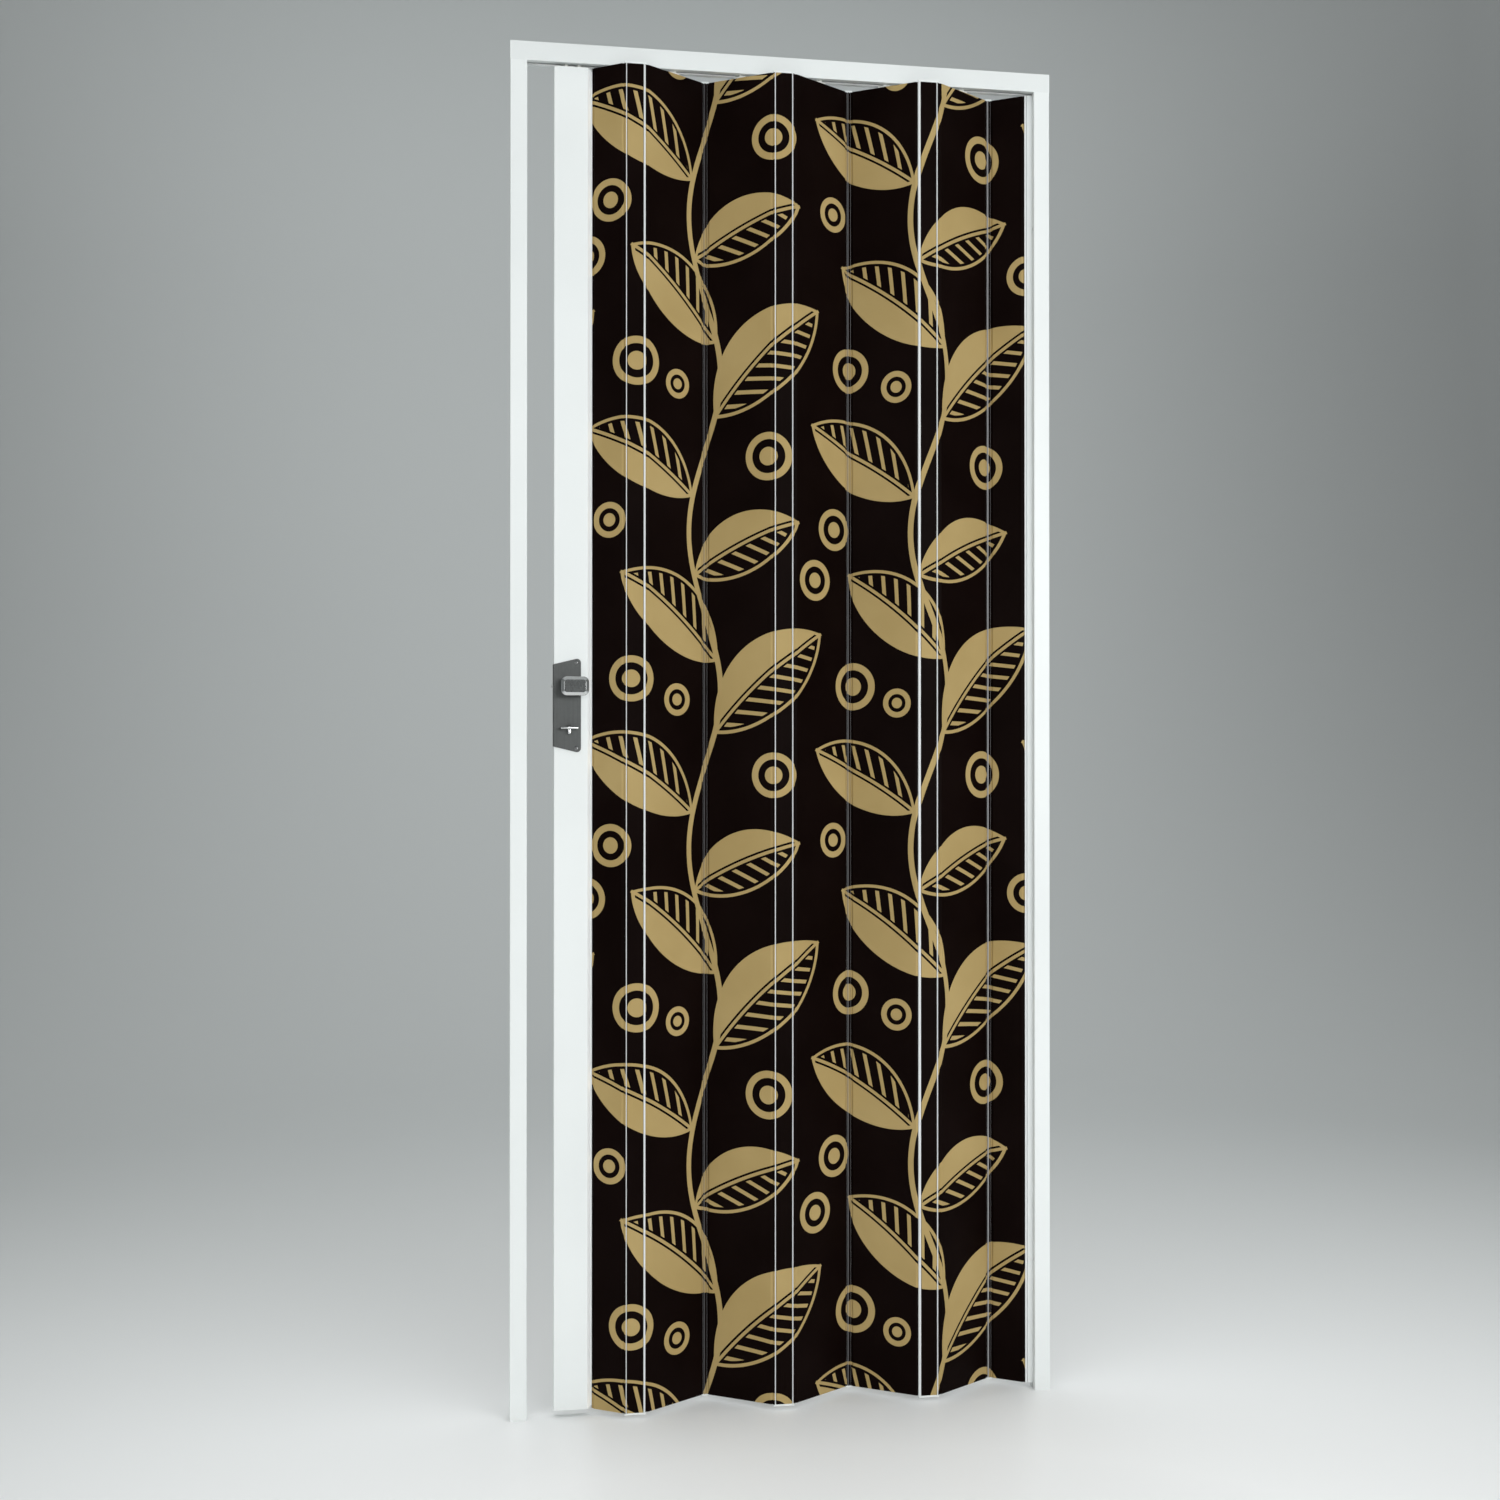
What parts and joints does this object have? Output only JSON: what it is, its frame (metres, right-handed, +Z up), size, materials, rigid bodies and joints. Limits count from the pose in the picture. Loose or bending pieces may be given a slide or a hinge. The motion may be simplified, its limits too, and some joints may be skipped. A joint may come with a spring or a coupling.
{
  "type": "accordion folding door",
  "caption": "Accordion folding door: hollow plastic slats on bead hinges fold along a top track, between two jambs; a leading post carries a knob latch and a turn bolt.",
  "frame": {"origin": "on the floor, midway between the outer faces of the jambs, under the middle of the track", "axes": "+X to the right seen from the front, from the latch side to the hinge side; +Y to the back; +Z up"},
  "size_m": [0.83, 0.0794, 2.04],
  "materials": {
    "white_pvc": "satin extruded",
    "white_moulding": "moulded",
    "glider_nylon": "moulded",
    "printed_pvc": "dark printed film on both faces, white at the hinge lines",
    "lock_steel": "brushed",
    "knob_metal": "dark satin",
    "screw_steel": "plated"
  },
  "bodies": {
    "frame": {"latch_jamb": "white_pvc", "hinge_jamb": "white_pvc", "head_rail": "white_pvc", "corner_keys": "white_moulding", "corner_screws": "screw_steel", "wall_profile": "white_pvc", "strike_plate": "lock_steel", "strike_screws": "screw_steel"},
    "half_panel_fixed": {"half_panel_fixed": "printed_pvc"},
    "valley_1": {"valley_strip_1": "printed_pvc", "valley_caps_1": "white_moulding"},
    "ridge_1": {"ridge_strip_1": "printed_pvc", "ridge_caps_1": "white_moulding"},
    "panel_1": {"panel_1": "printed_pvc", "panel_glider_1": "glider_nylon"},
    "panel_2": {"panel_2": "printed_pvc", "panel_glider_2": "glider_nylon"},
    "valley_2": {"valley_strip_2": "printed_pvc", "valley_caps_2": "white_moulding"},
    "ridge_2": {"ridge_strip_2": "printed_pvc", "ridge_caps_2": "white_moulding"},
    "panel_3": {"panel_3": "printed_pvc", "panel_glider_3": "glider_nylon"},
    "panel_4": {"panel_4": "printed_pvc", "panel_glider_4": "glider_nylon"},
    "valley_3": {"valley_strip_3": "printed_pvc", "valley_caps_3": "white_moulding"},
    "ridge_3": {"ridge_strip_3": "printed_pvc", "ridge_caps_3": "white_moulding"},
    "panel_5": {"panel_5": "printed_pvc", "panel_glider_5": "glider_nylon"},
    "half_panel_lead": {"half_panel_lead": "printed_pvc"},
    "post": {"lead_post": "white_pvc", "post_caps": "white_moulding", "post_gliders": "glider_nylon", "lock_case": "lock_steel", "front_lock_plate": "lock_steel", "rear_lock_plate": "lock_steel", "plate_screws": "screw_steel", "plate_sleeves": "screw_steel"},
    "knob": {"front_knob": "knob_metal", "rear_knob": "knob_metal", "knob_spindle": "lock_steel"},
    "latch": {"latch_pin": "lock_steel"},
    "turn": {"front_turn": "lock_steel", "rear_turn": "lock_steel", "turn_spindle": "lock_steel"},
    "bolt": {"dead_bolt": "lock_steel"}
  },
  "joints": [
    {"name": "fold_wall", "type": "hinge", "parent": "frame", "child": "half_panel_fixed", "pos_m": [0.3795, 0, 1.009], "axis": [0, 0, -1], "range_deg": [-6.5, 52]},
    {"name": "fold_half_panel_fixed_to_valley_1", "type": "hinge", "parent": "half_panel_fixed", "child": "valley_1", "pos_m": [0.33243, 0.02941, 1.009], "axis": [0, 0, -1], "range_deg": [-52, 6.5]},
    {"name": "fold_valley_1_to_panel_1", "type": "hinge", "parent": "valley_1", "child": "panel_1", "pos_m": [0.32523, 0.02941, 1.009], "axis": [0, 0, -1], "range_deg": [-52, 6.5]},
    {"name": "fold_panel_1_to_ridge_1", "type": "hinge", "parent": "panel_1", "child": "ridge_1", "pos_m": [0.2311, -0.02941, 1.009], "axis": [0, 0, -1], "range_deg": [-6.5, 52]},
    {"name": "fold_ridge_1_to_panel_2", "type": "hinge", "parent": "ridge_1", "child": "panel_2", "pos_m": [0.2025, -0.02941, 1.009], "axis": [0, 0, -1], "range_deg": [-6.5, 52]},
    {"name": "fold_panel_2_to_valley_2", "type": "hinge", "parent": "panel_2", "child": "valley_2", "pos_m": [0.10837, 0.02941, 1.009], "axis": [0, 0, -1], "range_deg": [-52, 6.5]},
    {"name": "fold_valley_2_to_panel_3", "type": "hinge", "parent": "valley_2", "child": "panel_3", "pos_m": [0.10117, 0.02941, 1.009], "axis": [0, 0, -1], "range_deg": [-52, 6.5]},
    {"name": "fold_panel_3_to_ridge_2", "type": "hinge", "parent": "panel_3", "child": "ridge_2", "pos_m": [0.00703, -0.02941, 1.009], "axis": [0, 0, -1], "range_deg": [-6.5, 52]},
    {"name": "fold_ridge_2_to_panel_4", "type": "hinge", "parent": "ridge_2", "child": "panel_4", "pos_m": [-0.02157, -0.02941, 1.009], "axis": [0, 0, -1], "range_deg": [-6.5, 52]},
    {"name": "fold_panel_4_to_valley_3", "type": "hinge", "parent": "panel_4", "child": "valley_3", "pos_m": [-0.1157, 0.02941, 1.009], "axis": [0, 0, -1], "range_deg": [-52, 6.5]},
    {"name": "fold_valley_3_to_panel_5", "type": "hinge", "parent": "valley_3", "child": "panel_5", "pos_m": [-0.1229, 0.02941, 1.009], "axis": [0, 0, -1], "range_deg": [-52, 6.5]},
    {"name": "fold_panel_5_to_ridge_3", "type": "hinge", "parent": "panel_5", "child": "ridge_3", "pos_m": [-0.21703, -0.02941, 1.009], "axis": [0, 0, -1], "range_deg": [-6.5, 52]},
    {"name": "fold_ridge_3_to_half_panel_lead", "type": "hinge", "parent": "ridge_3", "child": "half_panel_lead", "pos_m": [-0.24563, -0.02941, 1.009], "axis": [0, 0, -1], "range_deg": [-6.5, 52]},
    {"name": "fold_half_panel_lead_to_post", "type": "hinge", "parent": "half_panel_lead", "child": "post", "pos_m": [-0.2927, 0, 1.009], "axis": [0, 0, -1], "range_deg": [-52, 6.5]},
    {"name": "knob_turn", "type": "hinge", "parent": "post", "child": "knob", "pos_m": [-0.3203, 0, 1.084], "axis": [0, 1, 0], "range_deg": [0, 40], "stiffness_Nm_per_rad": 0.2},
    {"name": "latch_slide", "type": "slide", "parent": "post", "child": "latch", "axis": [1, 0, 0], "range_m": [0, 0.0026]},
    {"name": "bolt_turn", "type": "hinge", "parent": "post", "child": "turn", "pos_m": [-0.3277, 0, 1.0225], "axis": [0, 1, 0], "range_deg": [0, 90]},
    {"name": "bolt_slide", "type": "slide", "parent": "post", "child": "bolt", "axis": [-1, 0, 0], "range_m": [0, 0.01]}
  ],
  "couplings": [
    {"joint": "fold_wall", "follows": "fold_half_panel_lead_to_post", "ratio": -1},
    {"joint": "fold_half_panel_fixed_to_valley_1", "follows": "fold_half_panel_lead_to_post", "ratio": 1},
    {"joint": "fold_valley_1_to_panel_1", "follows": "fold_half_panel_lead_to_post", "ratio": 1},
    {"joint": "fold_panel_1_to_ridge_1", "follows": "fold_half_panel_lead_to_post", "ratio": -1},
    {"joint": "fold_ridge_1_to_panel_2", "follows": "fold_half_panel_lead_to_post", "ratio": -1},
    {"joint": "fold_panel_2_to_valley_2", "follows": "fold_half_panel_lead_to_post", "ratio": 1},
    {"joint": "fold_valley_2_to_panel_3", "follows": "fold_half_panel_lead_to_post", "ratio": 1},
    {"joint": "fold_panel_3_to_ridge_2", "follows": "fold_half_panel_lead_to_post", "ratio": -1},
    {"joint": "fold_ridge_2_to_panel_4", "follows": "fold_half_panel_lead_to_post", "ratio": -1},
    {"joint": "fold_panel_4_to_valley_3", "follows": "fold_half_panel_lead_to_post", "ratio": 1},
    {"joint": "fold_valley_3_to_panel_5", "follows": "fold_half_panel_lead_to_post", "ratio": 1},
    {"joint": "fold_panel_5_to_ridge_3", "follows": "fold_half_panel_lead_to_post", "ratio": -1},
    {"joint": "fold_ridge_3_to_half_panel_lead", "follows": "fold_half_panel_lead_to_post", "ratio": -1},
    {"joint": "latch_slide", "follows": "knob_turn", "m_per_rad": 0.0037242},
    {"joint": "bolt_slide", "follows": "bolt_turn", "m_per_rad": 0.0063661}
  ]
}
